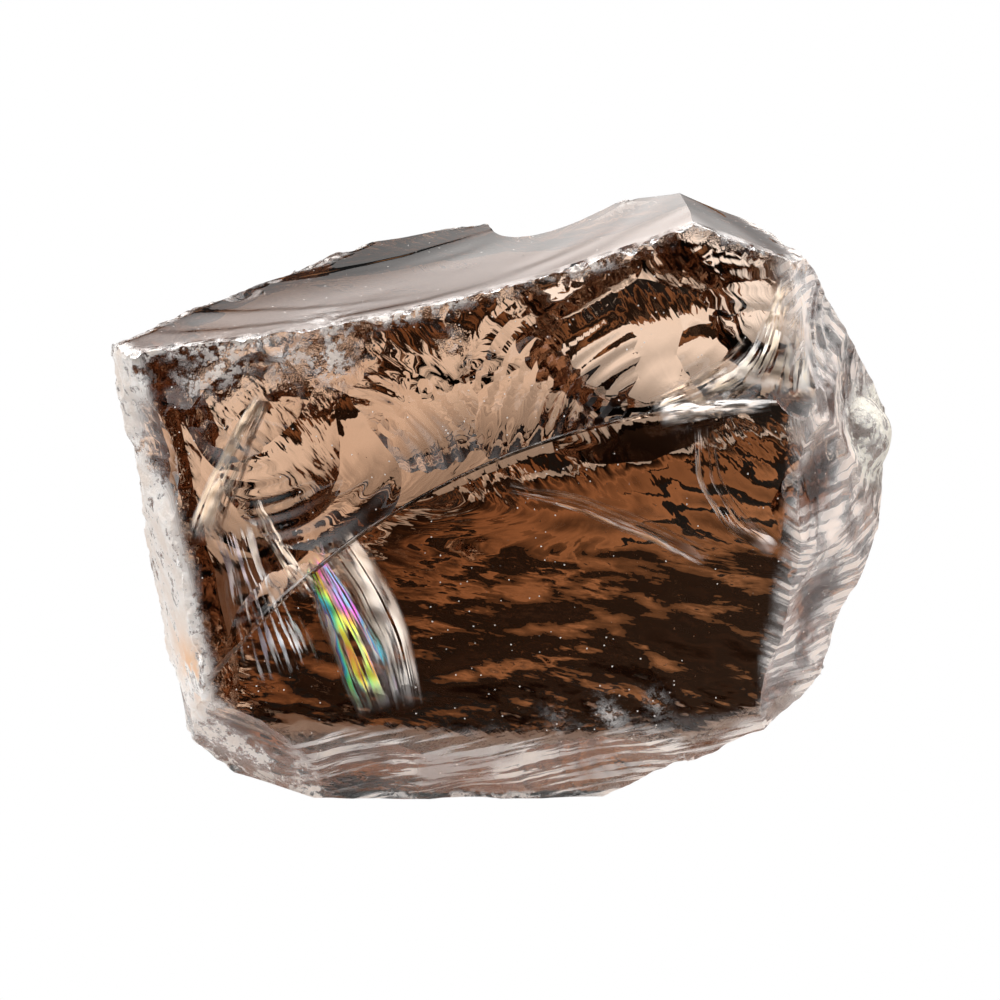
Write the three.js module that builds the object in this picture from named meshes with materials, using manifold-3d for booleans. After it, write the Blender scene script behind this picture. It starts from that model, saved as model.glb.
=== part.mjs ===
// A rough lump of smoky quartz, broken by hand from a larger crystal.
// It is one solid: a block bounded by large fracture faces, bitten into by smaller shell-shaped scars.
// Millimetres, +Z up. The lump stands on its flat underside, which is the plane z = 0.
import * as THREE from "three";
import { mergeVertices } from "three/addons/utils/BufferGeometryUtils.js";
import Module from "manifold-3d";

const wasm = await Module();
wasm.setup();

// ---- Driving dimensions ----
const REACH = 46; // half the side of the block that each fracture face is cut from
const THICK = 90; // depth of that block behind its face
const FACE_STEP = 3.6; // grid step on a fracture face
const SCAR_STEP = 2.2; // grid step in a scar
const SCAR_LIP = 1.35; // a scar's cutter is this many times as wide as its mouth
const CUTTER_ROOF = 6; // how far a scar's cutter stands above its rim
const LUMP_CORE = [0, -3, 22]; // a point deep inside the lump

// ---- Fracture faces: a point on each, its outward direction, and how it bends ----
// bow is the curvature along the face's level and rising directions, in 1/mm; positive is hollow.
// swell is the height of its slow unevenness.
const FRACTURES = [
  { name: "top", at: [-3.4, -15, 42.1], facing: [-0.245, 0.076, 0.967],
    bow: [0.0058, 0], swell: 0.25, seed: 1 },
  { name: "top_right", at: [14.8, -13.5, 47.6], facing: [0.37, 0.14, 0.92], swell: 0.2, seed: 2 },
  { name: "front", at: [0, -15.3, 24], facing: [0.02, -1, 0.04],
    bow: [-0.002, 0], swell: 0.3, seed: 3 },
  { name: "left", at: [-27.3, -10, 25], facing: [-0.92, -0.35, -0.17], swell: 0.3, seed: 4 },
  { name: "left_foot", at: [-23.4, -15, 10.5], facing: [-0.44, -0.62, -0.65], swell: 0.5, seed: 5 },
  { name: "left_base", at: [-26.5, -4, 5.2], facing: [-0.69, -0.1, -0.72], swell: 0.4, seed: 20 },
  { name: "front_foot", at: [0, -15, 6.7], facing: [0, -0.86, -0.51], swell: 0.3, seed: 6 },
  { name: "right_foot", at: [14, -8, 2.9], facing: [0.46, -0.05, -0.89], swell: 0.3, seed: 7 },
  { name: "right_low", at: [24.8, -7, 9], facing: [0.74, -0.1, -0.66],
    bow: [0, -0.035], swell: 0.4, seed: 8 },
  { name: "right_end", at: [29.3, -3, 20], facing: [0.99, 0.05, -0.1], swell: 0.4, seed: 9 },
  { name: "right_rim", at: [22.3, -13.5, 22.9], facing: [0.8, -0.6, -0.08], swell: 0.4, seed: 10 },
  { name: "right_shoulder", at: [23, -12.8, 38], facing: [0.91, -0.38, 0.13], swell: 0.4, seed: 11 },
  { name: "right_roof", at: [29.4, 2, 29.2], facing: [0.758, 0.311, 0.573], swell: 0.4, seed: 12 },
  { name: "back_bevel", at: [9.4, 2.6, 45.7], facing: [0.303, 0.85, 0.45], swell: 0.5, seed: 18 },
  { name: "back_right", at: [4, 10.6, 26], facing: [0.22, 0.96, 0.12], swell: 0.5, seed: 13 },
  { name: "back_crown", at: [-11.8, 11.4, 40], facing: [-0.41, 0.88, 0.2],
    bow: [-0.004, 0], swell: 0.4, seed: 16 },
  { name: "left_roof", at: [-20, 2.4, 37.6], facing: [-0.55, 0.42, 0.72], swell: 0.5, seed: 15 },
  { name: "left_back", at: [-28, -8.2, 25], facing: [-0.97, 0.22, -0.1], swell: 0.4, seed: 21 },
  { name: "back_lower", at: [-2, 3.6, 6.6], facing: [0.38, 0.78, -0.5],
    bow: [0, -0.003], swell: 0.4, seed: 14 },
  { name: "underside", at: [0, 0, 0], facing: [0, 0, -1], swell: 0, seed: 17 },
];

// ---- Scars: where each one is, the radius of its mouth, its depth and how far it leans ----
// A scar lies on whichever fracture face runs nearest to its point. A lean tips it over, so that
// it bites deep on one side and runs out on the other, as a struck flake does.
const SCARS = [
  // the notch that opens the back edge of the top
  { near: [4.4, 5.5, 43.5], mouth: 6, depth: 6, facing: [0.22, 0.9, 0.36], seed: 31 },
  // upper front: shells between the top edge and the step
  { near: [-19.7, -15, 34.4], mouth: 5.2, depth: 1.2, lean: [0.1, 0, -0.12], seed: 41 },
  { near: [-12.9, -15, 26.5], mouth: 6.5, depth: 1.2, lean: [-0.1, 0, 0.12], seed: 42 },
  { near: [-7, -15, 33.5], mouth: 6, depth: 1.1, lean: [0.08, 0, 0.08], seed: 43 },
  { near: [5.3, -15, 35.2], mouth: 8, depth: 1.1, lean: [-0.08, 0, 0.06], seed: 44 },
  { near: [16.7, -14, 43], mouth: 5.5, depth: 1, lean: [0.1, 0, -0.1], seed: 45 },
  { near: [20, -14, 37], mouth: 6, depth: 1.4, lean: [-0.1, 0, 0.05], seed: 46 },
  { near: [-25.5, -14.5, 29], mouth: 6, depth: 1.6, lean: [0.2, 0, 0.1], seed: 47 },
  // lower front
  { near: [18.6, -15, 26], mouth: 6, depth: 1.7, lean: [0.1, 0, -0.1], seed: 51 },
  { near: [8, -15, 12], mouth: 7, depth: 2, lean: [-0.05, 0, 0.12], seed: 52 },
  { near: [-16, -15, 13], mouth: 7, depth: 2, lean: [0.12, 0, 0.1], seed: 53 },
  // right rim and shoulder
  { near: [25, -10, 25], mouth: 5, depth: 1, lean: [0, 0, 0.15], seed: 61 },
  { near: [25.5, -10, 16], mouth: 5, depth: 1, lean: [0, 0, -0.1], seed: 62 },
  { near: [24.5, -9, 36], mouth: 5, depth: 1, lean: [0, 0.1, 0.1], seed: 63 },
  { near: [28, -4, 30], mouth: 4.5, depth: 0.9, lean: [0, -0.1, 0.1], seed: 64 },
  { near: [21, -12, 9], mouth: 4.5, depth: 1, lean: [0.1, 0, 0.1], seed: 65 },
  // feet
  { near: [-18, -13, 5], mouth: 5, depth: 1, lean: [-0.1, 0, 0.1], seed: 71 },
  { near: [-11, -13, 3.5], mouth: 4.5, depth: 1, lean: [0.1, 0, 0], seed: 72 },
  { near: [-24.5, -6, 5], mouth: 4, depth: 0.9, lean: [0, 0.1, 0.1], seed: 73 },
  { near: [5, -13, 4], mouth: 7, depth: 0.9, lean: [0.1, 0, 0.05], seed: 74 },
  // back
  { near: [-8, 9, 33], mouth: 7, depth: 1.4, lean: [0.1, 0, 0.15], seed: 81 },
  { near: [-17, 7, 22], mouth: 8, depth: 1.5, lean: [0.15, 0, -0.1], seed: 83 },
  { near: [14, 1, 43], mouth: 6, depth: 1.4, lean: [0.15, 0, 0.1], seed: 84 },
  { near: [21, 4, 33], mouth: 6.5, depth: 1.5, lean: [-0.1, 0, 0.2], seed: 85 },
  { near: [9, 6, 29], mouth: 8, depth: 1.6, lean: [0.15, 0, -0.1], seed: 86 },
  { near: [-22, 4, 32], mouth: 6, depth: 1.2, lean: [0.1, 0.1, 0.1], seed: 87 },
  { near: [-26, 0, 17], mouth: 6, depth: 1.3, lean: [-0.1, 0.1, -0.1], seed: 88 },
  { near: [8.5, 7, 37], mouth: 6.5, depth: 2.4, lean: [0, 0, -0.9], seed: 89 },
  { near: [24, 1, 24], mouth: 6, depth: 1.3, lean: [0.1, 0, -0.15], seed: 92 },
];

// ---- Small chips struck from the sharp edges: runs of them from one point to another ----
const CHIP_RUNS = [
  { from: [-27, -15.5, 35.6], to: [-4, -15.5, 41.4], count: 6, seed: 201 },
  { from: [-1, -15.6, 42.3], to: [14, -15.2, 47], count: 5, seed: 211 },
  { from: [16.5, -14.8, 47], to: [22, -13.6, 44.8], count: 2, seed: 221 },
  { from: [-22, -3, 37.4], to: [-12, 10, 39.6], count: 3, seed: 231 },
  { from: [23.3, -12.6, 38], to: [22.6, -13.4, 14], count: 3, seed: 241 },
];
const CHIP_MOUTH = 1.5;
const CHIP_DEPTH = 0.7;

// ---- The step: one broad flake off the lower front, which ends in a low curved wall ----
const STEP = {
  at: [20.8, -15.1, -19.7], facing: [0.02, -1, 0.03],
  radius: 53.2, depth: 0.6, hollow: 0.8, wall: 0.35, seed: 99,
};

// ---- The weathered knob on the right end ----
const KNOB = { at: [27.6, -1.5, 26.6], radii: [2.9, 3.4, 3.6], swell: 0.3, seed: 301 };

// Slow unevenness of a broken face, between about -1 and 1.
function unevenness(a, b, seed) {
  let sum = 0;
  for (let wave = 0; wave < 4; wave++) {
    const turn = seed * 2.4 + wave * 1.3;
    const along = a * Math.cos(turn) + b * Math.sin(turn);
    sum += Math.sin(along * 0.16 * (1 + 0.6 * wave) + seed * 5 + wave) / (1 + wave);
  }
  return sum / 2;
}

// The frame that stands on a face: its z runs outward, and its x runs level.
function standing(at, facing) {
  const out = new THREE.Vector3(...facing).normalize();
  const helper = Math.abs(out.z) > 0.8 ? new THREE.Vector3(0, 1, 0) : new THREE.Vector3(0, 0, 1);
  const level = helper.cross(out).normalize();
  const rise = new THREE.Vector3().crossVectors(out, level);
  return new THREE.Matrix4().makeBasis(level, rise, out).setPosition(...at);
}

// A closed geometry as a solid that can be joined and cut.
function solidOf(geometry) {
  geometry.deleteAttribute("normal");
  geometry.deleteAttribute("uv");
  const merged = mergeVertices(geometry, 1e-4);
  return new wasm.Manifold(new wasm.Mesh({
    numProp: 3,
    vertProperties: new Float32Array(merged.attributes.position.array),
    triVerts: new Uint32Array(merged.index.array),
  }));
}

// Everything that lies behind one fracture face.
function behind({ at, facing, bow = [0, 0], swell, seed }) {
  const steps = swell > 0 ? Math.round((2 * REACH) / FACE_STEP) : 1;
  const block = new THREE.BoxGeometry(2 * REACH, 2 * REACH, THICK, steps, steps, 1);
  block.translate(0, 0, -THICK / 2);
  const point = block.attributes.position;
  for (let i = 0; i < point.count; i++) {
    if (point.getZ(i) < -1) continue;
    const a = point.getX(i);
    const b = point.getY(i);
    point.setZ(i, (bow[0] * a * a + bow[1] * b * b) / 2 + swell * unevenness(a, b, seed));
  }
  return solidOf(block.applyMatrix4(standing(at, facing)));
}

// A round cutter whose underside is the given profile of [radius, height] points.
function roundCutter(profile, at, facing, swell, seed) {
  const [outer, top] = profile[profile.length - 1];
  const roof = top + CUTTER_ROOF;
  const outline = [...profile, [outer, roof], [0, roof]].map(([r, h]) => new THREE.Vector2(r, h));
  const around = Math.max(12, Math.round((2 * Math.PI * outer) / SCAR_STEP));
  const cutter = new THREE.LatheGeometry(outline, around).rotateX(Math.PI / 2);
  const point = cutter.attributes.position;
  for (let i = 0; i < point.count; i++) {
    point.setZ(i, point.getZ(i) + swell * unevenness(2 * point.getX(i), 2 * point.getY(i), seed));
  }
  return solidOf(cutter.applyMatrix4(standing(at, facing)));
}

// The fracture face that runs nearest to a point, and the point moved onto it.
function onSurface(near) {
  const point = new THREE.Vector3(...near);
  let nearest = { height: -Infinity };
  for (const fracture of FRACTURES) {
    const out = new THREE.Vector3(...fracture.facing).normalize();
    const height = point.clone().sub(new THREE.Vector3(...fracture.at)).dot(out);
    if (height > nearest.height) nearest = { height, out };
  }
  point.addScaledVector(nearest.out, -nearest.height);
  return { at: point.toArray(), facing: nearest.out.toArray() };
}

// What one scar takes away: a shallow bowl.
function scar({ near, mouth, depth, facing, lean = [0, 0, 0], seed }) {
  const face = onSurface(near);
  const axis = facing ?? face.facing.map((part, i) => part + lean[i]);
  const outer = mouth * SCAR_LIP;
  const rings = Math.max(4, Math.round(outer / SCAR_STEP));
  const profile = [];
  for (let ring = 0; ring <= rings; ring++) {
    const r = (outer * ring) / rings;
    profile.push([r, depth * ((r / mouth) ** 2 - 1)]);
  }
  return roundCutter(profile, face.at, axis, 0.12 * depth, seed);
}

// What the broad flake takes away: a slightly hollow floor that ends in a wall.
function step({ at, facing, radius, depth, hollow, wall, seed }) {
  const rings = Math.round(radius / FACE_STEP);
  const profile = [];
  for (let ring = 0; ring <= rings; ring++) {
    const r = ((radius - wall) * ring) / rings;
    profile.push([r, -depth - hollow * (1 - (r / radius) ** 2)]);
  }
  profile.push([radius + wall, depth]);
  return roundCutter(profile, at, facing, 0.12, seed);
}

// A run of small chips along an edge. Their places, sizes and turns wander with the seed.
function chips({ from, to, count, seed }) {
  const start = new THREE.Vector3(...from);
  const end = new THREE.Vector3(...to);
  const run = [];
  for (let i = 0; i < count; i++) {
    const wander = unevenness(7 * i, 3 * seed, seed + i);
    const at = start.clone().lerp(end, (i + 0.5 + 0.35 * wander) / count);
    const size = 1 + 0.4 * wander;
    const facing = new THREE.Vector3(0.4 * wander, at.y - LUMP_CORE[1], at.z - LUMP_CORE[2]);
    const mouth = CHIP_MOUTH * size;
    const depth = CHIP_DEPTH * size;
    const profile = [0, 0.5, 1, SCAR_LIP].map((part) => [part * mouth, depth * (part ** 2 - 1)]);
    run.push(roundCutter(profile, at.toArray(), facing.normalize().toArray(), 0.1, seed + i));
  }
  return run;
}

// The knob: an uneven ball that is sunk in the right end.
function knob({ at, radii, swell, seed }) {
  const ball = new THREE.SphereGeometry(1, 14, 9).scale(...radii);
  const point = ball.attributes.position;
  for (let i = 0; i < point.count; i++) {
    const size = 1 + (swell / radii[0]) * unevenness(6 * point.getX(i), 6 * point.getZ(i), seed);
    point.setXYZ(i, point.getX(i) * size, point.getY(i) * size, point.getZ(i) * size);
  }
  return solidOf(ball.translate(...at));
}

let lump = behind(FRACTURES[0]);
for (const fracture of FRACTURES.slice(1)) lump = lump.intersect(behind(fracture));
lump = lump.subtract(step(STEP));
for (const shape of SCARS) lump = lump.subtract(scar(shape));
for (const run of CHIP_RUNS) {
  for (const chip of chips(run)) lump = lump.subtract(chip);
}
lump = lump.add(knob(KNOB));

// The origin is the middle of the lump's box, at its underside.
const box = lump.boundingBox();
lump = lump.translate([-(box.min[0] + box.max[0]) / 2, -(box.min[1] + box.max[1]) / 2, -box.min[2]]);

const made = lump.getMesh();
const geometry = new THREE.BufferGeometry();
geometry.setAttribute("position", new THREE.BufferAttribute(made.vertProperties, 3));
geometry.setIndex(new THREE.BufferAttribute(made.triVerts, 1));
geometry.computeVertexNormals();

const smoky = new THREE.MeshStandardMaterial({ color: 0x7a5a45, roughness: 0.15, metalness: 0 });
const quartz = new THREE.Mesh(geometry, smoky);
quartz.name = "smoky_quartz";

const stone = new THREE.Group();
stone.add(quartz);
export default stone;
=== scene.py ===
"""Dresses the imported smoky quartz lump: its fine fracture surfaces, clear brown body and inner cracks.

The lump is cut again from the same fracture faces and scars as the CAD solid, on a finer grid and
with the ripples that a fine grid can hold. Shapes are worked out in millimetres and scaled at the end.
"""

import math

import bmesh
import bpy
import numpy as np
from mathutils import Matrix, Vector


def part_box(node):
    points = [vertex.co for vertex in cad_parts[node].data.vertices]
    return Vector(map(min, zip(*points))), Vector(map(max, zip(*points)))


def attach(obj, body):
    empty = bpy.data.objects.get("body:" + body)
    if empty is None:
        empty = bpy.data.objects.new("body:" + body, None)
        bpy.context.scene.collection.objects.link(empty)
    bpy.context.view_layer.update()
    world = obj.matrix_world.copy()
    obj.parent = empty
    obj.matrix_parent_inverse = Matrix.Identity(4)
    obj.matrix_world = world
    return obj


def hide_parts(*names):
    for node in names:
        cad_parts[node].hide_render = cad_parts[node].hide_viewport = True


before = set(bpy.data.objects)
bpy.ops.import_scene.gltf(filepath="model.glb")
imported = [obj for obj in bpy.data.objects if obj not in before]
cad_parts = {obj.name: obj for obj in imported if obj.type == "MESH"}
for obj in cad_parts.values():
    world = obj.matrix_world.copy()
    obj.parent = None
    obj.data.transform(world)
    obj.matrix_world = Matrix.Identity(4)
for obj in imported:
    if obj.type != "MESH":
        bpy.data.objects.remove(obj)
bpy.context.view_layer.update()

# ---------------------------------------------------------------- driving dimensions (mm)

MM = 0.001
NODE = "smoky_quartz"
REACH = 46.0        # half the side of the block that each fracture face is cut from
THICK = 90.0        # depth of that block behind its face
SCAR_LIP = 1.35     # a scar's cutter is this many times as wide as its mouth
CUTTER_ROOF = 6.0   # how far a scar's cutter stands above its rim
LUMP_CORE = (0.0, -3.0, 22.0)  # a point deep inside the lump
FINE = 0.5          # grid step on a fracture face, near its middle
FINE_REACH = 34.0   # how far from its middle the fine grid goes
COARSE = 4.0        # grid step beyond that
SCAR_STEP = 0.45    # grid step in a scar

# Each fracture face: a point on it, its outward direction, how it bends (bow, 1/mm, positive is
# hollow), its slow unevenness (swell) and a seed, as in the CAD. The rest is fine relief:
# ripple (height, spacing), scallops (count, smallest, largest radius), streaks (height, turn, spacing)
# and ledges (place a, b, turn, drop).
FRACTURES = {
    "top": dict(at=(-3.4, -15, 42.1), facing=(-0.245, 0.076, 0.967), bow=(0.0058, 0), swell=0.25, seed=1,
                ripple=(0.02, 5.0),
                ledges=[(-12, 3.2, -0.12, 0.07), (-17, 9.5, -0.45, 0.08), (-3, 19, 0.2, 0.06)]),
    "top_right": dict(at=(14.8, -13.5, 47.6), facing=(0.37, 0.14, 0.92), swell=0.2, seed=2,
                      ripple=(0.02, 4.0)),
    "front": dict(at=(0, -15.3, 24), facing=(0.02, -1, 0.04), bow=(-0.002, 0), swell=0.3, seed=3,
                  ripple=(0.01, 3.0), scallops=(26, 1.5, 5.0)),
    "left": dict(at=(-27.3, -10, 25), facing=(-0.92, -0.35, -0.17), swell=0.3, seed=4, ripple=(0.05, 3.0),
                 scallops=(30, 1.0, 4.0)),
    "left_foot": dict(at=(-23.4, -15, 10.5), facing=(-0.44, -0.62, -0.65), swell=0.5, seed=5,
                      ripple=(0.06, 1.8), scallops=(60, 1.0, 4.0)),
    "left_base": dict(at=(-26.5, -4, 5.2), facing=(-0.69, -0.1, -0.72), swell=0.4, seed=20,
                      ripple=(0.06, 1.8), scallops=(60, 1.0, 4.0)),
    "front_foot": dict(at=(0, -15, 6.7), facing=(0, -0.86, -0.51), swell=0.3, seed=6,
                       ripple=(0.07, 1.6), scallops=(50, 1.0, 4.0)),
    "right_foot": dict(at=(14, -8, 2.9), facing=(0.46, -0.05, -0.89), swell=0.3, seed=7,
                       ripple=(0.07, 1.8), scallops=(50, 1.0, 4.0)),
    "right_low": dict(at=(24.8, -7, 9), facing=(0.74, -0.1, -0.66), bow=(0, -0.035), swell=0.4, seed=8,
                      ripple=(0.04, 1.2), scallops=(150, 1.2, 4.0)),
    "right_end": dict(at=(29.3, -3, 20), facing=(0.99, 0.05, -0.1), swell=0.4, seed=9,
                      ripple=(0.05, 1.8), scallops=(60, 1.0, 3.5)),
    "right_rim": dict(at=(22.3, -13.5, 22.9), facing=(0.8, -0.6, -0.08), swell=0.4, seed=10,
                      ripple=(0.04, 1.2), scallops=(150, 1.2, 4.0)),
    "right_shoulder": dict(at=(23, -12.8, 38), facing=(0.91, -0.38, 0.13), swell=0.4, seed=11,
                           ripple=(0.05, 2.0), scallops=(50, 1.0, 4.0)),
    "right_roof": dict(at=(29.4, 2, 29.2), facing=(0.758, 0.311, 0.573), swell=0.4, seed=12,
                       ripple=(0.05, 2.0), scallops=(60, 1.0, 4.0)),
    "back_bevel": dict(at=(9.4, 2.6, 45.7), facing=(0.303, 0.85, 0.45), swell=0.5, seed=18,
                       ripple=(0.04, 2.2), scallops=(60, 1.2, 4.5)),
    "back_right": dict(at=(4, 10.6, 26), facing=(0.22, 0.96, 0.12), swell=0.5, seed=13,
                       ripple=(0.04, 2.4), scallops=(50, 2.5, 8.0), streaks=(0.09, 0.8, 1.6)),
    "back_crown": dict(at=(-11.8, 11.4, 40), facing=(-0.41, 0.88, 0.2), bow=(-0.004, 0), swell=0.4, seed=16,
                       ripple=(0.04, 2.2), scallops=(50, 2.0, 7.0), streaks=(0.09, 0.9, 1.6)),
    "left_roof": dict(at=(-20, 2.4, 37.6), facing=(-0.55, 0.42, 0.72), swell=0.5, seed=15,
                      ripple=(0.04, 2.2), scallops=(60, 1.5, 5.0)),
    "left_back": dict(at=(-28, -8.2, 25), facing=(-0.97, 0.22, -0.1), swell=0.4, seed=21,
                      ripple=(0.04, 2.2), scallops=(60, 1.5, 5.0)),
    "back_lower": dict(at=(-2, 3.6, 6.6), facing=(0.38, 0.78, -0.5), bow=(0, -0.003), swell=0.4, seed=14,
                       ripple=(0.02, 2.4), streaks=(0.17, 0.1, 1.8)),
    "underside": dict(at=(0, 0, 0), facing=(0, 0, -1), seed=17),
}

# point near the scar, radius of its mouth, depth, lean, seed
SCARS = [
    ((-19.7, -15, 34.4), 5.2, 1.2, (0.1, 0, -0.12), 41),
    ((-12.9, -15, 26.5), 6.5, 1.2, (-0.1, 0, 0.12), 42),
    ((-7, -15, 33.5), 6, 1.1, (0.08, 0, 0.08), 43),
    ((5.3, -15, 35.2), 8, 1.1, (-0.08, 0, 0.06), 44),
    ((16.7, -14, 43), 5.5, 1, (0.1, 0, -0.1), 45),
    ((20, -14, 37), 6, 1.4, (-0.1, 0, 0.05), 46),
    ((-25.5, -14.5, 29), 6, 1.6, (0.2, 0, 0.1), 47),
    ((18.6, -15, 26), 6, 1.7, (0.1, 0, -0.1), 51),
    ((8, -15, 12), 7, 2, (-0.05, 0, 0.12), 52),
    ((-16, -15, 13), 7, 2, (0.12, 0, 0.1), 53),
    ((25, -10, 25), 5, 1, (0, 0, 0.15), 61),
    ((25.5, -10, 16), 5, 1, (0, 0, -0.1), 62),
    ((24.5, -9, 36), 5, 1, (0, 0.1, 0.1), 63),
    ((28, -4, 30), 4.5, 0.9, (0, -0.1, 0.1), 64),
    ((21, -12, 9), 4.5, 1, (0.1, 0, 0.1), 65),
    ((-18, -13, 5), 5, 1, (-0.1, 0, 0.1), 71),
    ((-11, -13, 3.5), 4.5, 1, (0.1, 0, 0), 72),
    ((-24.5, -6, 5), 4, 0.9, (0, 0.1, 0.1), 73),
    ((5, -13, 4), 7, 0.9, (0.1, 0, 0.05), 74),
    ((-8, 9, 33), 7, 1.4, (0.1, 0, 0.15), 81),
    ((-17, 7, 22), 8, 1.5, (0.15, 0, -0.1), 83),
    ((14, 1, 43), 6, 1.4, (0.15, 0, 0.1), 84),
    ((21, 4, 33), 6.5, 1.5, (-0.1, 0, 0.2), 85),
    ((9, 6, 29), 8, 1.6, (0.15, 0, -0.1), 86),
    ((-22, 4, 32), 6, 1.2, (0.1, 0.1, 0.1), 87),
    ((-26, 0, 17), 6, 1.3, (-0.1, 0.1, -0.1), 88),
    ((8.5, 7, 37), 6.5, 2.4, (0, 0, -0.9), 89),
    ((24, 1, 24), 6, 1.3, (0.1, 0, -0.15), 92),
]
NOTCH = ((4.4, 5.5, 43.5), 6.0, 6.0, (0.22, 0.9, 0.36), 31)  # point, mouth, depth, facing, seed

# runs of small chips along the sharp edges: from, to, count, seed
CHIP_RUNS = [
    ((-27, -15.5, 35.6), (-4, -15.5, 41.4), 6, 201),
    ((-1, -15.6, 42.3), (14, -15.2, 47), 5, 211),
    ((16.5, -14.8, 47), (22, -13.6, 44.8), 2, 221),
    ((-22, -3, 37.4), (-12, 10, 39.6), 3, 231),
    ((23.3, -12.6, 38), (22.6, -13.4, 14), 3, 241),
]
CHIP_MOUTH = 1.5
CHIP_DEPTH = 0.7
CHIP_STEP = 0.3     # grid step in a chip
CRUMB_EDGE = 0.3    # longer edges are split where the stone crumbles
SHARP_ANGLE = 14.0  # degrees between facets from which an edge is shaded sharp

# the broad shallow flake off the front, whose rim is the step, and the weathered knob on the right end
STEP = dict(at=(20.8, -15.1, -19.7), facing=(0.02, -1, 0.03), radius=53.2, depth=0.6, hollow=0.8, wall=0.35,
            seed=99)
KNOB = dict(at=(27.6, -1.5, 26.6), radii=(2.9, 3.4, 3.6), swell=0.3, seed=301)

# the crystal, and the colours of its frosted places
QUARTZ_IOR = 1.54
SMOKE_COLOUR = (0.52, 0.25, 0.01)
SMOKE_DENSITY = 68
CHALK_WHITE = (0.88, 0.85, 0.82)
CHALK_BUFF = (0.76, 0.67, 0.60)
RIM_PALE = (0.86, 0.73, 0.65)
FOOT_PALE = (0.86, 0.75, 0.67)
KNOB_PALE = (0.82, 0.78, 0.68)
RUST = (0.78, 0.38, 0.12)
# the grey-brown tint of the painted shade under the top
PAINTED_SHADE_TINT = (0.30, 0.24, 0.21)
RIPPLE_CENTRE = (31, -14, 33)  # where the arcs on the rim began

CAMERA_TARGET = (0.0, 0.0, 20.8)
CAMERA_DISTANCE = 420.0
CAMERA_ELEVATION = 20.0
FRAME_WIDTH = 78.5  # width of the picture at the target


# ---------------------------------------------------------------- surfaces as formulas

def unevenness(a, b, seed):
    """Slow unevenness of a broken face, between about -1 and 1."""
    total = 0.0
    for wave in range(4):
        turn = seed * 2.4 + wave * 1.3
        along = a * math.cos(turn) + b * math.sin(turn)
        total = total + np.sin(along * 0.16 * (1 + 0.6 * wave) + seed * 5 + wave) / (1 + wave)
    return total / 2


def lattice_noise(points, seed):
    """Smooth noise between -1 and 1 at points of any dimension, one knot per unit."""
    points = np.asarray(points, float)
    low = np.floor(points).astype(np.int64)
    part = points - low
    part = part * part * part * (part * (part * 6 - 15) + 10)
    total = np.zeros(points.shape[:-1])
    size = points.shape[-1]
    for corner in range(2 ** size):
        weight = np.ones(points.shape[:-1])
        code = np.full(points.shape[:-1], seed * 7919 + 17, np.int64)
        for axis in range(size):
            step = corner >> axis & 1
            weight = weight * (part[..., axis] if step else 1 - part[..., axis])
            code = code * 1103515245 + (low[..., axis] + step) * 374761393 + 12345
            code = (code ^ (code >> 13)) & 0x7FFFFFFF
        code = (code * 668265263 ^ (code >> 15)) & 0x7FFFFFFF
        total += weight * (code % 65536 / 32767.5 - 1)
    return total


def fractal(points, seed, layers=4):
    """Layers of lattice noise, each half as large and twice as fine."""
    points = np.asarray(points, float)
    return sum(lattice_noise(points * 2.0 ** i, seed + i) / 2.0 ** i for i in range(layers)) / 1.6


def ripple_phase(a, b, spacing, seed, start=24.0):
    """Where each point lies in the wave of ripples that spreads from a fracture's origin."""
    away = np.hypot(a - start * math.cos(1.7 * seed), b - start * math.sin(1.7 * seed))
    bend = 3.0 * fractal(np.stack([a, b], -1) / 9, seed + 3, 3)
    return 2 * math.pi * away / spacing + bend


def ripples(a, b, height, spacing, seed, start=24.0):
    """Ripples that spread from the place where a fracture began."""
    if height == 0:
        return 0.0 * a
    strength = np.clip(0.5 + 1.2 * fractal(np.stack([a, b], -1) / 7, seed + 7, 2), 0, 1.3)
    return height * strength * np.sin(ripple_phase(a, b, spacing, seed, start))


def scallop_field(a, b, count, small, large, seed):
    """Shell-shaped flakes that overlap: at each point the deepest one shows."""
    chance = np.random.RandomState(seed)
    field = np.zeros(np.shape(a))
    for _ in range(count):
        u, v = chance.uniform(-FINE_REACH, FINE_REACH, 2)
        radius = small + (large - small) * chance.rand() ** 2
        lean = chance.uniform(-0.16, 0.16, 2)
        x, y = a - u, b - v
        away = np.hypot(x, y) / radius
        depth = 0.13 * radius
        flake = depth * (away ** 2 - 1) + lean[0] * x + lean[1] * y
        flake += 0.03 * np.sin(9 * away + seed) * (away < 1.5)
        field = np.where(away < 1.7, np.minimum(field, flake), field)
    return field


def smooth_step(value, low, high):
    part = np.clip((value - low) / (high - low), 0, 1)
    return part * part * (3 - 2 * part)


def standing(at, facing):
    """The frame that stands on a face: its z runs outward, and its x runs level."""
    out = Vector(facing).normalized()
    helper = Vector((0, 1, 0)) if abs(out.z) > 0.8 else Vector((0, 0, 1))
    level = helper.cross(out).normalized()
    rise = out.cross(level)
    frame_of = Matrix((level, rise, out)).transposed().to_4x4()
    frame_of.translation = Vector(at)
    return frame_of


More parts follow.
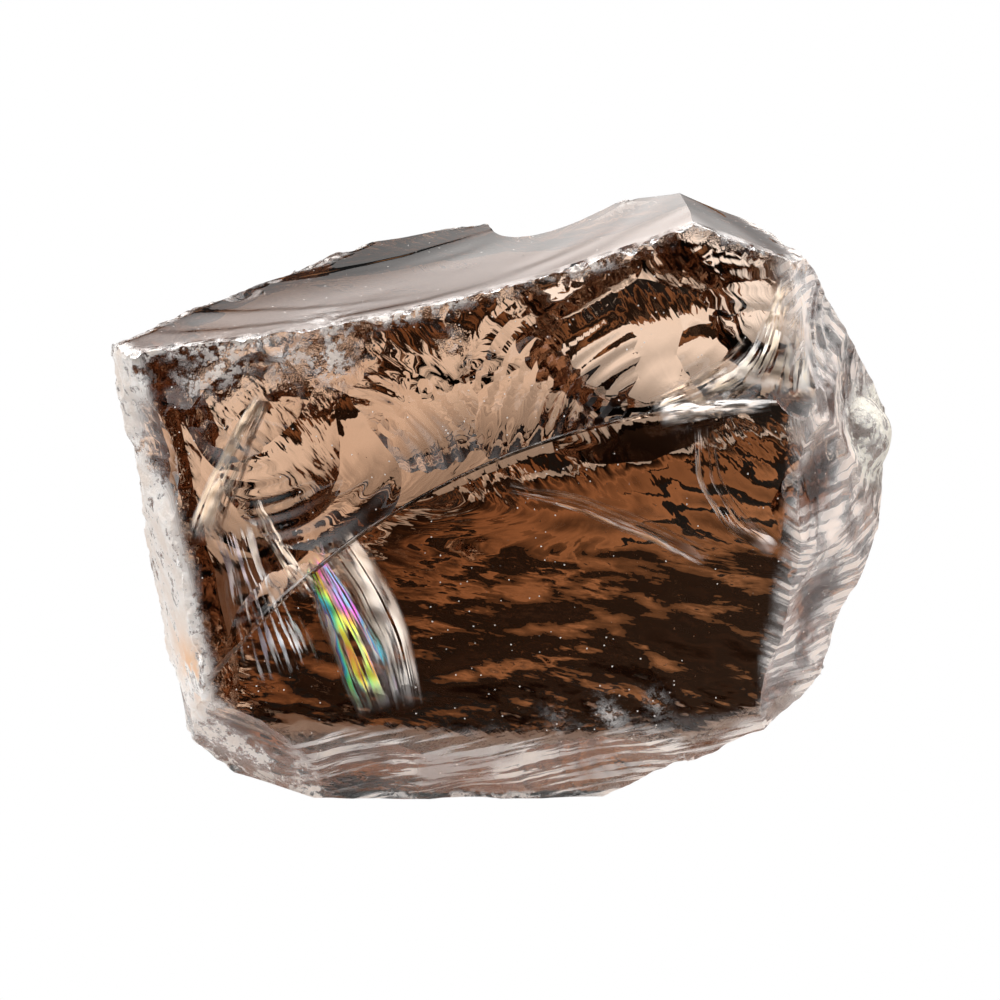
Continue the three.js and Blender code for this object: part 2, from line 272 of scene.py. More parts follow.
def face_height(
    a, b, seed, bow=(0, 0), swell=0.0, ripple=(0.0, 1.0), scallops=None, streaks=None, ledges=(), **_
):
    """Height of a fracture face over its plane."""
    height = (bow[0] * a * a + bow[1] * b * b) / 2 + swell * unevenness(a, b, seed)
    for u, v, turn, drop in ledges:
        x = (a - u) * math.cos(turn) + (b - v) * math.sin(turn)
        y = (b - v) * math.cos(turn) - (a - u) * math.sin(turn)
        edge = y - 0.012 * x * x + 0.5 * fractal(np.stack([a, b], -1) / 5, seed + 31, 3)
        fade = np.exp(-((x / 12) ** 4))
        height = height - drop * fade * smooth_step(edge, -0.25, 0.25) * (1 - smooth_step(edge, 0.25, 9))
    height = height + ripples(a, b, *ripple, seed)
    if scallops:
        height = height + scallop_field(a, b, *scallops, seed)
    if streaks:
        rise, turn, spacing = streaks
        along = a * math.cos(turn) + b * math.sin(turn)
        across = b * math.cos(turn) - a * math.sin(turn)
        place = np.stack([along / 6 + 0.1 * across, across / spacing + 0.7 * np.sin(along / 5)], -1)
        height = height + rise * fractal(place, seed + 11, 3)
    return height


def mesh_object(name, points, faces, placed=None):
    """An object from an array of points and a list of faces, moved by a matrix."""
    mesh = bpy.data.meshes.new(name)
    mesh.from_pydata(points, [], faces)
    if placed is not None:
        mesh.transform(placed)
    obj = bpy.data.objects.new(name, mesh)
    bpy.context.scene.collection.objects.link(obj)
    return obj


# ---------------------------------------------------------------- solids that cut and join

def grid_lines():
    near = np.arange(-FINE_REACH, FINE_REACH + FINE / 2, FINE)
    far = np.arange(FINE_REACH + COARSE, REACH, COARSE)
    return np.concatenate([-REACH * np.ones(1), -far[::-1], near, far, REACH * np.ones(1)])


def behind(name):
    """Everything that lies behind one fracture face, as a closed block."""
    face = FRACTURES[name]
    lines = grid_lines() if "swell" in face else np.array([-REACH, REACH])
    count = len(lines)
    a, b = np.meshgrid(lines, lines, indexing="ij")
    top = np.stack([a, b, face_height(a, b, **face)], -1).reshape(-1, 3)
    rim = [i * count for i in range(count)]
    rim += [(count - 1) * count + j for j in range(1, count)]
    rim += [i * count + count - 1 for i in range(count - 2, -1, -1)]
    rim += [j for j in range(count - 2, 0, -1)]
    corners = [rim[0], rim[count - 1], rim[2 * count - 2], rim[3 * count - 3]]
    base = top[corners].copy()
    base[:, 2] = -THICK
    points = np.concatenate([top, base])
    faces = []
    for i in range(count - 1):
        for j in range(count - 1):
            k = i * count + j
            faces.append((k, k + count, k + count + 1, k + 1))
    low = len(top)
    side = count - 1
    for corner in range(4):
        edge = [rim[(corner * side + i) % len(rim)] for i in range(side + 1)]
        faces.append((*edge[::-1], low + corner, low + (corner + 1) % 4))
    faces.append((low + 3, low + 2, low + 1, low))
    return mesh_object(name, points, faces, standing(face["at"], face["facing"]))


def round_cutter(name, profile, at, facing, swell, ripple, seed):
    """A round cutter whose underside is the given profile of (radius, height) points."""
    outer, top = profile[-1]
    around = max(16, round(2 * math.pi * outer / SCAR_STEP))
    angles = 2 * math.pi * np.arange(around) / around
    rings = [(r, h) for r, h in profile if r > 0] + [(outer, top + CUTTER_ROOF)]
    points = [np.array([[0, 0, profile[0][1]]])]
    for r, h in rings:
        points.append(np.stack([r * np.cos(angles), r * np.sin(angles), np.full(around, h)], -1))
    points.append(np.array([[0, 0, top + CUTTER_ROOF]]))
    points = np.concatenate(points)
    points[:, 2] += swell * unevenness(2 * points[:, 0], 2 * points[:, 1], seed)
    points[:, 2] += ripples(points[:, 0], points[:, 1], ripple[0], ripple[1], seed, start=outer)
    faces = []
    for i in range(around):
        faces.append((0, 1 + (i + 1) % around, 1 + i))
    for ring in range(len(rings) - 1):
        low = 1 + ring * around
        for i in range(around):
            n = (i + 1) % around
            faces.append((low + i, low + n, low + around + n, low + around + i))
    last = len(points) - 1
    low = 1 + (len(rings) - 1) * around
    for i in range(around):
        faces.append((last, low + i, low + (i + 1) % around))
    return mesh_object(name, points, faces, standing(at, facing))


def on_surface(near):
    """The fracture face that runs nearest to a point, and the point moved onto it."""
    best = None
    for face in FRACTURES.values():
        out = Vector(face["facing"]).normalized()
        height = (Vector(near) - Vector(face["at"])).dot(out)
        if best is None or height > best[0]:
            best = (height, out)
    return Vector(near) - best[0] * best[1], best[1]


def bowl(mouth, depth, step):
    """The profile of a round hollow, a little wider than its mouth."""
    rings = max(4, round(mouth * SCAR_LIP / step))
    radii = [mouth * SCAR_LIP * ring / rings for ring in range(rings + 1)]
    return [(r, depth * ((r / mouth) ** 2 - 1)) for r in radii]


def scar(near, mouth, depth, lean, seed):
    at, facing = on_surface(near)
    profile = bowl(mouth, depth, SCAR_STEP)
    return round_cutter("scar", profile, at, facing + Vector(lean), 0.12 * depth, (0.06, 1.4), seed)


def notch(at, mouth, depth, facing, seed):
    at, _ = on_surface(at)
    return round_cutter("notch", bowl(mouth, depth, SCAR_STEP), at, facing, 0.12 * depth, (0.05, 1.6), seed)


def step_flake(at, facing, radius, depth, hollow, wall, seed):
    """The broad shallow flake: nearly flat, with a steep wall at its rim."""
    rings = round(radius / (2 * SCAR_STEP))
    radii = [(radius - wall) * ring / rings for ring in range(rings + 1)]
    profile = [(r, -depth - hollow * (1 - (r / radius) ** 2)) for r in radii]
    profile.append((radius + wall, depth))
    return round_cutter("step", profile, at, facing, 0.12, (0.03, 2.2), seed)


def chips(start, end, count, seed):
    """Small cutters along an edge, unevenly spaced and sized."""
    run = []
    for i in range(count):
        wander = float(unevenness(7 * i, 3 * seed, seed + i))
        at = Vector(start).lerp(Vector(end), (i + 0.5 + 0.35 * wander) / count)
        size = 1 + 0.4 * wander
        facing = Vector((0.4 * wander, at.y - LUMP_CORE[1], at.z - LUMP_CORE[2]))
        profile = bowl(CHIP_MOUTH * size, CHIP_DEPTH * size, CHIP_STEP)
        run.append(round_cutter("chip", profile, at, facing, 0.1, (0, 1), seed + i))
    return run


def knob(at, radii, swell, seed):
    """An uneven ball that is sunk in the right end."""
    mesh = bpy.data.meshes.new("knob")
    ball = bmesh.new()
    bmesh.ops.create_uvsphere(ball, u_segments=48, v_segments=32, radius=1)
    for vertex in ball.verts:
        place = Vector(c * r for c, r in zip(vertex.co, radii))
        size = 1 + swell / radii[0] * float(unevenness(6 * place.x, 6 * place.z, seed))
        vertex.co = place * size
    ball.to_mesh(mesh)
    ball.free()
    mesh.transform(Matrix.Translation(at))
    obj = bpy.data.objects.new("knob", mesh)
    bpy.context.scene.collection.objects.link(obj)
    return obj


def combine(target, tool, operation):
    """Joins, cuts or intersects target with tool, and removes tool."""
    modifier = target.modifiers.new("combine", "BOOLEAN")
    modifier.operation = operation
    modifier.solver = "MANIFOLD"
    modifier.object = tool
    evaluated = target.evaluated_get(bpy.context.evaluated_depsgraph_get())
    result = bpy.data.meshes.new_from_object(evaluated)
    target.modifiers.clear()
    old = target.data
    target.data = result
    bpy.data.meshes.remove(old)
    used = tool.data
    bpy.data.objects.remove(tool)
    bpy.data.meshes.remove(used)


def break_lump():
    """The lump, cut face by face and scar by scar, in millimetres."""
    first, *others = FRACTURES
    lump = behind(first)
    for name in others:
        combine(lump, behind(name), "INTERSECT")
    combine(lump, step_flake(**STEP), "DIFFERENCE")
    combine(lump, notch(*NOTCH), "DIFFERENCE")
    for shape in SCARS:
        combine(lump, scar(*shape), "DIFFERENCE")
    for run in CHIP_RUNS:
        for chip in chips(*run):
            combine(lump, chip, "DIFFERENCE")
    combine(lump, knob(**KNOB), "UNION")
    return lump


# ---------------------------------------------------------------- wear and marks on the surface

def coordinates(mesh):
    points = np.empty(len(mesh.vertices) * 3)
    mesh.vertices.foreach_get("co", points)
    return points.reshape(-1, 3)


def height_over(points, name):
    """How far each point lies in front of a fracture face (negative is behind it)."""
    face = FRACTURES[name]
    inverse = np.array(standing(face["at"], face["facing"]).inverted())
    local = points @ inverse[:3, :3].T + inverse[:3, 3]
    return local[:, 2] - face_height(local[:, 0], local[:, 1], **face)


# edges between two faces that are crushed: the faces, how wide and how strongly
CRUSHED_EDGES = [
    ("top", "front", 1.3, 1.0),
    ("top_right", "front", 1.2, 1.0),
    ("left", "front", 1.6, 0.9),
    ("left", "top", 1.0, 0.8),
    ("front", "left_foot", 1.2, 0.9),
    ("left", "left_foot", 1.2, 1.0),
    ("left_foot", "left_base", 1.5, 0.9),
    ("left_foot", "front_foot", 1.5, 0.9),
    ("front", "front_foot", 0.8, 0.7),
    ("front_foot", "underside", 1.2, 0.8),
    ("front_foot", "right_foot", 1.0, 0.7),
    ("front", "right_rim", 0.9, 0.7),
    ("front", "right_shoulder", 0.9, 0.8),
    ("right_rim", "right_shoulder", 0.8, 0.6),
    ("top_right", "right_shoulder", 0.9, 0.8),
    ("top_right", "right_roof", 0.8, 0.6),
    ("top", "left_roof", 0.8, 0.7),
    ("top", "back_crown", 0.7, 0.6),
    ("top", "back_bevel", 0.6, 0.5),
    ("left", "left_back", 1.2, 0.8),
    ("right_rim", "right_low", 0.8, 0.6),
]


def float_layer(mesh, name, values):
    layer = mesh.attributes.new(name, "FLOAT", "POINT")
    layer.data.foreach_set("value", values.astype(np.float32))


def crushed(heights):
    """How crushed each vertex is, from 0 to 1, by the sharp edge it lies near."""
    amount = np.zeros(len(heights["top"]))
    for first, second, width, strength in CRUSHED_EDGES:
        near = smooth_step(heights[first], -width, -0.1) * smooth_step(heights[second], -width, -0.1)
        amount = np.maximum(amount, near * strength)
    return amount


def finer_near_edges(lump):
    """Splits the faces along the crushed edges, so that they can crumble."""
    mesh = lump.data
    points = coordinates(mesh)
    near = crushed({name: height_over(points, name) for name in FRACTURES}) > 0.02
    work = bmesh.new()
    work.from_mesh(mesh)
    work.verts.ensure_lookup_table()
    picked = [edge for edge in work.edges if near[edge.verts[0].index] and near[edge.verts[1].index]]
    long_ones = [edge for edge in picked if edge.calc_length() > CRUMB_EDGE]
    bmesh.ops.subdivide_edges(work, edges=long_ones, cuts=1)
    bmesh.ops.triangulate(work, faces=[face for face in work.faces if len(face.verts) > 4])
    work.to_mesh(mesh)
    work.free()


# masks that the material reads: the faces that each one covers (hackle has rules of its own, in wear)
FACE_MASKS = {
    "chalk": ("left",),
    "rim": ("right_rim", "right_shoulder", "right_low", "right_end", "right_roof"),
    "foot": ("front_foot", "right_foot"),
    "base": ("left_foot", "left_base"),
    "face": ("front",),
    "fluted": ("back_lower",),
}
HACKLED = ("back_right", "back_crown", "back_bevel", "left_back", "left_roof")
NOT_HACKLED = ("top", "top_right", "front", "left")

STAIN = ((-24.5, -14, 11.8), (2, 3.5, 2.4))  # rust on the left end: its middle and its radii
PAINTED_SHADE_SPOTS = [  # painted shade under the top, a grey-brown darkening in two spots: the middle, the radii and how strong
    ((-6, 5, 42.5), (9, 6, 5), 1.0),
    ((14, -3, 46), (7, 5, 5), 1.0),
]

# bruises under a blow: place, radius, strength
BRUISES = [
    ((-13.0, -15, 38.0), 2.1, 1.0),
    ((-15.5, -15, 36.6), 1.6, 0.8),
    ((-20.8, -15, 36.6), 1.7, 0.9),
    ((-23.0, -15, 35.5), 1.4, 0.7),
    ((-3.5, -15, 38.5), 1.0, 0.6),
    ((13.5, -15, 33.6), 1.3, 0.9),
    ((17.0, -15, 34.0), 1.2, 0.8),
    ((8.5, -15, 8.0), 1.2, 0.7),
    ((12.0, -15, 9.0), 0.9, 0.7),
    ((4.5, -15, 7.6), 1.0, 0.6),
]


def wear(lump):
    """Crumbles the crushed edges, and marks where the surface is bruised or chalky and where shade is painted
    under the top.
    """
    finer_near_edges(lump)
    mesh = lump.data
    points = coordinates(mesh)
    heights = {name: height_over(points, name) for name in FRACTURES}

    crush = crushed(heights)
    for place, radius, strength in BRUISES:
        away = np.linalg.norm((points - place) * (1, 0.5, 1), axis=1) / radius
        crush = np.maximum(crush, strength * np.exp(-away ** 2))
    masks = {
        mask: smooth_step(np.maximum.reduce([heights[name] for name in faces]), -1.3, -0.3)
        for mask, faces in FACE_MASKS.items()
    }
    masks["face"] *= smooth_step(points[:, 0], -19, -16)
    masks["fluted"] *= 1 - 0.75 * smooth_step(points[:, 2], 16, 20)
    behind_all = smooth_step(np.maximum.reduce([heights[name] for name in HACKLED]), -4, -2)
    before = np.maximum.reduce([heights[name] for name in NOT_HACKLED])
    masks["hackle"] = behind_all * (1 - smooth_step(before, -0.6, -0.2))
    knob_away = np.linalg.norm((points - np.array(KNOB["at"])) / np.array(KNOB["radii"]), axis=1)
    masks["knob"] = 1 - smooth_step(knob_away, 1.1, 1.5)
    masks["base"] = np.maximum(masks["base"], masks["knob"])
    stain_away = np.linalg.norm((points - STAIN[0]) / STAIN[1], axis=1)
    masks["stain"] = masks["chalk"] * np.exp(-stain_away ** 2)
    # painted shade: how strongly the top is darkened, in two soft spots
    painted_shade_amount = sum(
        shade_strength * np.exp(-np.sum(((points - middle) / radii) ** 2, axis=1)) for middle, radii, shade_strength in PAINTED_SHADE_SPOTS
    )
    upper = np.maximum(heights["top"], heights["top_right"])
    masks["painted_top_shade"] = smooth_step(upper, -1.3, -0.3) * np.minimum(painted_shade_amount, 1)
    masks["crush"] = crush

    normals = np.empty(len(points) * 3)
    mesh.vertices.foreach_get("normal", normals)
    normals = normals.reshape(-1, 3)
    coarse = np.clip(fractal(points / 1.9, 41, 3) + 0.25, 0, 1)
    fine = np.clip(fractal(points / 0.7, 43, 2) + 0.2, 0, 1)
    sink = crush * (0.55 * coarse + 0.25 * fine)
    sink *= 1 - smooth_step(heights["underside"], -0.6, -0.2)
    points -= normals * sink[:, None]
    mesh.vertices.foreach_set("co", points.ravel())

    for mask, values in masks.items():
        float_layer(mesh, mask, values)
    mesh.update()


# ---------------------------------------------------------------- material

class Tree:
    """Short ways to add nodes to a material or a world."""

    def __init__(self, owner):
        owner.use_nodes = True
        self.nodes = owner.node_tree.nodes
        self.link = owner.node_tree.links.new

    def new(self, kind):
        return self.nodes.new("ShaderNode" + kind)

    def feed(self, socket, value):
        """Sets a socket to a number or a colour, or links it to an output."""
        if isinstance(value, bpy.types.NodeSocket):
            self.link(value, socket)
        elif isinstance(value, tuple) and len(socket.default_value) == 4:
            socket.default_value = (*value, 1)
        else:
            socket.default_value = value

    def math(self, operation, *values):
        node = self.new("Math")
        node.operation = operation
        for socket, value in zip(node.inputs, values):
            self.feed(socket, value)
        return node.outputs[0]

    def product(self, *values):
        result = values[0]
        for value in values[1:]:
            result = self.math("MULTIPLY", result, value)
        return result

    def greatest(self, *values):
        result = values[0]
        for value in values[1:]:
            result = self.math("MAXIMUM", result, value)
        return result

    def ramp(self, value, low, high, start=0.0, end=1.0):
        """A smooth change from start to end while the value goes from low to high."""
        node = self.new("MapRange")
        node.interpolation_type = "SMOOTHSTEP"
        for name, amount in (
            ("Value", value), ("From Min", low), ("From Max", high), ("To Min", start), ("To Max", end),
        ):
            self.feed(node.inputs[name], amount)
        return node.outputs[0]

    def layer(self, name):
        """A mask or a place that is kept on the mesh."""
        node = self.new("Attribute")
        node.attribute_name = name
        return node.outputs["Fac"]

    def vector_math(self, operation, *values):
        node = self.new("VectorMath")
        node.operation = operation
        for socket, value in zip(node.inputs, values):
            self.feed(socket, value)
        return node

    def noise(self, vector, scale, detail=3.0, roughness=0.5, distortion=0.0):
        node = self.new("TexNoise")
        node.inputs["Scale"].default_value = scale
        node.inputs["Detail"].default_value = detail
        node.inputs["Roughness"].default_value = roughness
        node.inputs["Distortion"].default_value = distortion
        self.link(vector, node.inputs["Vector"])
        return node

    def mix_colour(self, amount, first, second):
        node = self.new("Mix")
        node.data_type = "RGBA"
        self.link(amount, node.inputs["Factor"])
        self.feed(node.inputs[6], first)
        self.feed(node.inputs[7], second)
        return node.outputs[2]

    def axes(self, vector):
        node = self.new("SeparateXYZ")
        self.link(vector, node.inputs[0])
        return node.outputs


def quartz_material(shift):
    """Clear brown crystal, frosted white where it is bruised, chalky or rippled, with painted shade in two
    spots under the top and a painted highlight along the step's rim.
    """
    material = bpy.data.materials.new("smoky_quartz")
    tree = Tree(material)
    shader = tree.nodes["Principled BSDF"]
    shader.inputs["IOR"].default_value = QUARTZ_IOR
    absorb = tree.new("VolumeAbsorption")
    absorb.inputs["Color"].default_value = (*SMOKE_COLOUR, 1)
    absorb.inputs["Density"].default_value = SMOKE_DENSITY
    tree.link(absorb.outputs[0], tree.nodes["Material Output"].inputs["Volume"])

    place = tree.new("TexCoord").outputs["Object"]

    def moved(scale=(1, 1, 1), turn=(0, 0, 0), centre=(0, 0, 0)):
        """The place in the stone, stretched and turned about a centre."""
        node = tree.new("Mapping")
        node.vector_type = "TEXTURE"
        node.inputs["Location"].default_value = Vector(centre) * MM
        node.inputs["Rotation"].default_value = turn
        node.inputs["Scale"].default_value = scale
        tree.link(place, node.inputs["Vector"])
        return node.outputs[0]

    def arcs(centre, spacing, wander):
        """Uneven ripples around a centre."""
        away = tree.vector_math("LENGTH", moved(centre=centre)).outputs["Value"]
        spot = tree.new("CombineXYZ")
        tree.link(tree.product(away, 1 / (spacing * MM)), spot.inputs[0])
        drift = tree.vector_math("MULTIPLY", place, (wander, wander, wander)).outputs[0]
        ripple_place = tree.vector_math("ADD", spot.outputs[0], drift).outputs[0]
        return tree.noise(ripple_place, 1.0, 2).outputs[0]

    layer, ramp, product, mix_colour = tree.layer, tree.ramp, tree.product, tree.mix_colour

    # bruised places: crumbs along the edges, chalk on the left, lines along the ripples and the foot
    crumbs = tree.noise(place, 1400, 3, 0.7).outputs[0]
    patches = tree.noise(place, 330, 3, 0.6).outputs[0]
    zones = tree.noise(place, 130, 2).outputs[0]
    lines = tree.noise(moved((14, 3, 1), (0, -0.22, 0)), 1500, 3, 0.6, 0.4).outputs[0]
    ripple = arcs(RIPPLE_CENTRE, 0.45, 240)
    crumbly = tree.math("ADD", crumbs, patches)
    bruise = product(layer("crush"), ramp(patches, 0.42, 0.56), ramp(crumbs, 0.44, 0.56))
    chalk = product(layer("chalk"), ramp(crumbly, 0.75, 1.0))
    rim = product(layer("rim"), ramp(ripple, 0.45, 0.58, 0.3), ramp(patches, 0.38, 0.55, 0.3))
    foot = product(layer("foot"), ramp(lines, 0.49, 0.57, 0.08, 0.95), ramp(zones, 0.4, 0.56, 0.4))
    base = product(layer("base"), ramp(crumbly, 0.92, 1.15, 0.1, 0.9))
    # the step's rim: a thin broken white frosted line where the broad flake ends, a painted highlight along
    # the step's edge
    flat = tree.vector_math("MULTIPLY", moved(centre=Vector(STEP["at"]) + shift), (1, 0, 1))
    reach = tree.vector_math("LENGTH", flat.outputs[0]).outputs["Value"]
    off_step_rim = tree.math("ABSOLUTE", tree.math("SUBTRACT", reach, (STEP["radius"] + 0.15) * MM))
    painted_step_highlight = product(layer("face"), ramp(off_step_rim, 0.04 * MM, 0.16 * MM, 0.9, 0), ramp(patches, 0.4, 0.5, 0.25))
    # the frost includes the painted highlight along the step's rim
    frost = tree.greatest(bruise, chalk, rim, foot, base, painted_step_highlight)

    # dust specks
    cells = tree.new("TexVoronoi")
    cells.inputs["Scale"].default_value = 1300
    tree.link(place, cells.inputs["Vector"])
    dot = ramp(cells.outputs["Distance"], 0.05, 0.1, 1, 0)
    specks = product(dot, tree.math("GREATER_THAN", cells.outputs["Color"], 0.4))
    white = tree.greatest(frost, specks)

    # colours: pale where it is frosted, and clear elsewhere, with painted shade (a grey-brown tint) in two
    # spots under the top
    pale = mix_colour(ramp(patches, 0.35, 0.65), CHALK_WHITE, CHALK_BUFF)
    pale = mix_colour(layer("rim"), pale, RIM_PALE)
    pale = mix_colour(layer("foot"), pale, FOOT_PALE)
    pale = mix_colour(layer("knob"), pale, KNOB_PALE)
    pale = mix_colour(product(ramp(patches, 0.42, 0.52), layer("stain")), pale, RUST)
    # painted shade under the top: a grey-brown tint on the clear crystal
    painted_shade_amount = product(layer("painted_top_shade"), ramp(zones, 0.36, 0.6, 0.4))
    clear = mix_colour(painted_shade_amount, (1, 1, 1), PAINTED_SHADE_TINT)
    tree.link(mix_colour(white, clear, pale), shader.inputs["Base Color"])
    tree.link(tree.math("SUBTRACT", 1, product(white, 0.9)), shader.inputs["Transmission Weight"])
    tree.link(tree.math("MULTIPLY_ADD", white, 0.45, 0.012), shader.inputs["Roughness"])

    # fine relief, in tenths of a millimetre
    rough = tree.greatest(layer("crush"), layer("chalk"), layer("base"), layer("foot"))
    relief = product(crumbs, tree.math("ADD", rough, layer("knob")), 2.0)
    rippled = product(layer("rim"), ramp(zones, 0.42, 0.58, 0.15))
    for mask, pattern in ((rippled, ripple), (layer("foot"), lines)):
        relief = tree.math("ADD", relief, product(mask, pattern, 1.2))
    bump = tree.new("Bump")
    bump.inputs["Strength"].default_value = 1.0
    bump.inputs["Distance"].default_value = 0.1 * MM
    tree.link(relief, bump.inputs["Height"])

    # fine hackle on the broken backs, which tips the surface a few degrees to and fro
    streams = tree.new("Mix")
    streams.data_type = "VECTOR"
    tree.link(layer("fluted"), streams.inputs["Factor"])
    tree.link(moved((14, 3, 1), (0, 1.0, 0)), streams.inputs[4])
    tree.link(moved((8, 3, 1), (0, 0.1, 0)), streams.inputs[5])
    grain = tree.noise(streams.outputs[1], 2000, 3, 0.6, 0.25).outputs[1]
    tilt = tree.new("VectorMath")
    tilt.operation = "SCALE"
    tree.link(tree.vector_math("SUBTRACT", grain, (0.5, 0.5, 0.5)).outputs[0], tilt.inputs[0])
    fluted = product(layer("fluted"), ramp(zones, 0.36, 0.6, 0.25, 0.75))
    hackled = product(layer("hackle"), ramp(zones, 0.42, 0.6, 0.12, 1.5))
    tree.link(tree.math("ADD", fluted, hackled), tilt.inputs["Scale"])
    tipped = tree.vector_math("ADD", bump.outputs[0], tilt.outputs[0])
    tree.link(tree.vector_math("NORMALIZE", tipped.outputs[0]).outputs[0], shader.inputs["Normal"])
    return material


# ---------------------------------------------------------------- inner cracks

# Each crack is a thin sheet inside the stone: the line it follows (x, y, z), its width at the two
# ends, how it leans back, its colours from one side to the other, how much of it shows, how many
# streaks lie side by side, how often they break along it, and a seed.
BRIGHT = ((1.0, 0.93, 0.84), (0.90, 0.80, 0.70), (1.0, 0.95, 0.90))
PEARL = ((0.86, 0.80, 0.74), (0.62, 0.50, 0.42), (0.90, 0.86, 0.82))
RAINBOW = (
    (0.30, 0.10, 0.50), (0.10, 0.75, 1.0), (0.25, 1.0, 0.30), (1.0, 0.95, 0.10), (1.0, 0.40, 0.10),
    (1.0, 0.15, 0.85), (0.20, 0.60, 1.0), (1.0, 0.85, 0.60),
)
CREAM = ((0.90, 0.80, 0.66), (0.80, 0.62, 0.46), (0.92, 0.86, 0.78))
VEIL = ((0.80, 0.78, 0.78), (0.62, 0.55, 0.66), (0.86, 0.84, 0.82), (0.62, 0.66, 0.72), (0.90, 0.86, 0.80))
SMOKE = ((0.42, 0.24, 0.14), (0.30, 0.15, 0.08), (0.50, 0.32, 0.21))
CRACKS = {
    "rainbow": dict(line=[(-14.6, -11.2, 21), (-12.8, -12.2, 17.6), (-10.8, -13.2, 13.4), (-9, -14.2, 8.6)],
                    width=(2.8, 5.0), lean=0.1, colours=RAINBOW, cover=0.65, lines=22, grain=2.2, seed=1),
    "streaks": dict(line=[(-12.4, -11.2, 22), (-10, -12.2, 18.4), (-8, -13.2, 14), (-6.9, -14.2, 8.8)],
                    width=(3.4, 2.2), lean=0.1, colours=BRIGHT, cover=0.7, lines=15, grain=1.0, seed=2),
    "silver": dict(line=[(12.0, -14.2, 32.6), (14.6, -14.2, 33.0), (17.2, -14.1, 33.3), (20.4, -13.8, 33.4)],
                   width=(2.2, 0.9), lean=0.35, colours=PEARL, cover=0.75, lines=16, grain=6, seed=3),
    "fin": dict(line=[(-17.6, -11.6, 34), (-19.4, -12.4, 30.6), (-21.2, -13.2, 26.6), (-22.6, -14, 22.4)],
                width=(1.6, 3.4), lean=0.1, colours=CREAM, cover=0.65, lines=11, grain=1.6, seed=4),
    "flank": dict(line=[(-18.8, -12, 25.5), (-17.2, -12.8, 22.5), (-15.6, -13.6, 20.0), (-14.4, -14.2, 18.2)],
                  width=(1.0, 2.4), lean=0.1, colours=CREAM, cover=0.5, lines=9, grain=1.6, seed=5),
    "shell": dict(line=[(21.6, -11.8, 43.2), (21.6, -12.6, 40.3), (21.2, -13.5, 37.4), (20.2, -14.2, 34.4)],
                  width=(1.4, 7.0), lean=0.1, colours=CREAM, cover=0.62, lines=18, grain=2.5, seed=6),
    "arm": dict(line=[(11.4, -14.0, 33.2), (14.4, -13.6, 34.2), (17.4, -13.2, 35.4), (19.6, -12.8, 37.0)],
                width=(1.6, 3.4), lean=0.3, colours=CREAM, cover=0.55, lines=12, grain=3, seed=9),
    "veil": dict(line=[(-20.4, -12, 23.6), (-19.2, -12.8, 19.6), (-17.8, -13.6, 15.4), (-16.4, -14.2, 11.4)],
                 width=(3.4, 6.5), lean=0.1, colours=VEIL, cover=0.3, lines=16, grain=2.2, seed=10),
    "arcs": dict(line=[(15.4, -11, 31.0), (15.8, -12, 27.0), (18.0, -12.8, 23.5), (21.0, -13.4, 21.4)],
                 width=(1.6, 2.6), lean=0.3, colours=SMOKE, cover=0.4, lines=10, grain=1.6, seed=7),
    "wing": dict(line=[(0.5, -12.5, 26.6), (6.0, -12.2, 25.4), (11.5, -12, 23.0), (16.0, -12, 20.6)],
                 width=(1.2, 2.4), lean=0.6, colours=SMOKE, cover=0.35, lines=9, grain=1.6, seed=8),
}


def ribbon(name, line, width, lean, seed):
    """A thin curved sheet along a line, wavy across, with its along and across positions kept."""
    along = np.linspace(0, 1, 61)
    across = np.linspace(-0.5, 0.5, 13)
    knots = np.linspace(0, 1, len(line))
    path = np.stack([np.interp(along, knots, [p[axis] for p in line]) for axis in range(3)], -1)
    kernel = np.ones(9) / 9
    inner = np.pad(path, ((4, 4), (0, 0)), mode="reflect", reflect_type="odd")
    path = np.stack([np.convolve(inner[:, axis], kernel, "valid") for axis in range(3)], -1)
    forward = np.gradient(path, axis=0)
    forward /= np.linalg.norm(forward, axis=1)[:, None]
    side = np.cross(forward, (0, 1, 0))
    side /= np.linalg.norm(side, axis=1)[:, None]
    side[:, 1] += lean
    breadth = width[0] + (width[1] - width[0]) * along
    breadth = breadth * (0.9 + 0.3 * fractal(np.stack([along * 2, along * 0], -1), seed, 2))
    t, s = np.meshgrid(along, across, indexing="ij")
    points = path[:, None, :] + side[:, None, :] * (s * breadth[:, None])[..., None]
    hollow = 0.5 * s ** 2 * breadth[:, None]
    points[..., 1] += hollow + 0.12 * fractal(np.stack([t * 7, s * 3], -1), seed + 5, 2)
    count = len(across)
    faces = [
        (i * count + j, i * count + j + 1, (i + 1) * count + j + 1, (i + 1) * count + j)
        for i in range(len(along) - 1)
        for j in range(count - 1)
    ]
    sheet = mesh_object(name, points.reshape(-1, 3), faces)
    float_layer(sheet.data, "along", t.ravel())
    float_layer(sheet.data, "across", s.ravel() + 0.5)
    sheet.data.shade_smooth()
    return sheet


